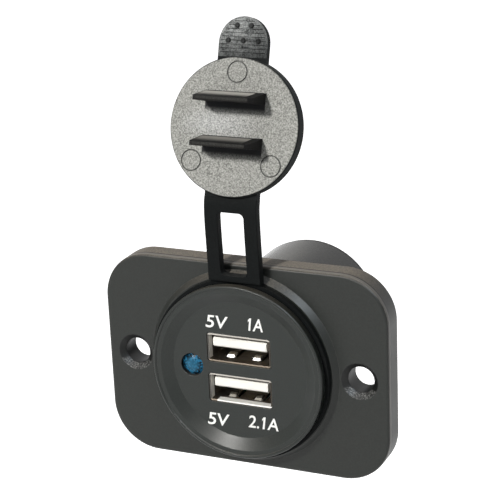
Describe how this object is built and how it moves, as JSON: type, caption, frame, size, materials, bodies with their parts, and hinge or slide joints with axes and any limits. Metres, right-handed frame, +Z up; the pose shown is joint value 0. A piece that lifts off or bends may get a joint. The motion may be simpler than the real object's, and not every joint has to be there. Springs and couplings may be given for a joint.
{
  "type": "dual usb charging socket",
  "caption": "Panel-mounted twin USB charging socket: dished round face with pilot lamp, rectangular screw plate, threaded barrel with ring nut, blade terminals and a rubber cover on a strap.",
  "frame": {"origin": "on the socket axis, in the plane of the mounting plate's back face", "axes": "+Y along the socket axis towards the terminals, so the face looks towards -Y; +X to the right as seen from the front, along the line of the two screw holes; +Z up, towards the cover"},
  "size_m": [0.0586, 0.0519, 0.0872],
  "materials": {
    "plate_plastic": "fine-grained black moulded plastic with a soft sheen",
    "body_plastic": "smooth black moulded plastic",
    "rubber": "matt black soft rubber",
    "nut_plastic": "black moulded plastic",
    "cover_plastic": "black moulded plastic",
    "tin_plate": "tin-plated sheet steel",
    "terminal_metal": "tinned brass",
    "white_plastic": "white insulating plastic",
    "gold": "gold-plated contact strip",
    "lamp_blue": "clear blue lamp body",
    "board_green": "lacquered circuit board",
    "ferrite": "dark sintered ferrite",
    "copper": "enamelled copper wire",
    "can_metal": "drawn aluminium can",
    "chip_black": "black moulding compound"
  },
  "bodies": {
    "root": {"mounting_plate": "plate_plastic", "socket_body": "body_plastic", "cap_ring": "rubber", "cap_strap": "rubber", "ring_nut": "nut_plastic", "rear_cover": "cover_plastic", "terminal_positive": "terminal_metal", "terminal_negative": "terminal_metal", "usb_shell_upper": "tin_plate", "usb_shell_lower": "tin_plate", "usb_insulator_upper": "white_plastic", "usb_insulator_lower": "white_plastic", "usb_contacts_upper": "gold", "usb_contacts_lower": "gold", "led_lamp": "lamp_blue", "led_legs": "tin_plate", "port_board": "board_green", "converter_board": "board_green", "link_header": "chip_black", "link_pins": "gold", "inductor_core": "ferrite", "inductor_winding": "copper", "input_capacitor": "can_metal", "output_capacitor": "can_metal", "converter_chip": "chip_black", "rectifier_diode": "chip_black"},
    "cap": {"cap_cover": "rubber"}
  },
  "joints": [
    {"name": "cap_hinge", "type": "hinge", "parent": "root", "child": "cap", "pos_m": [0, -0.01003, 0.02388], "axis": [1, 0, 0], "range_deg": [-20, 196.7], "stiffness_Nm_per_rad": 0.003, "deforming": ["cap_strap"]}
  ]
}
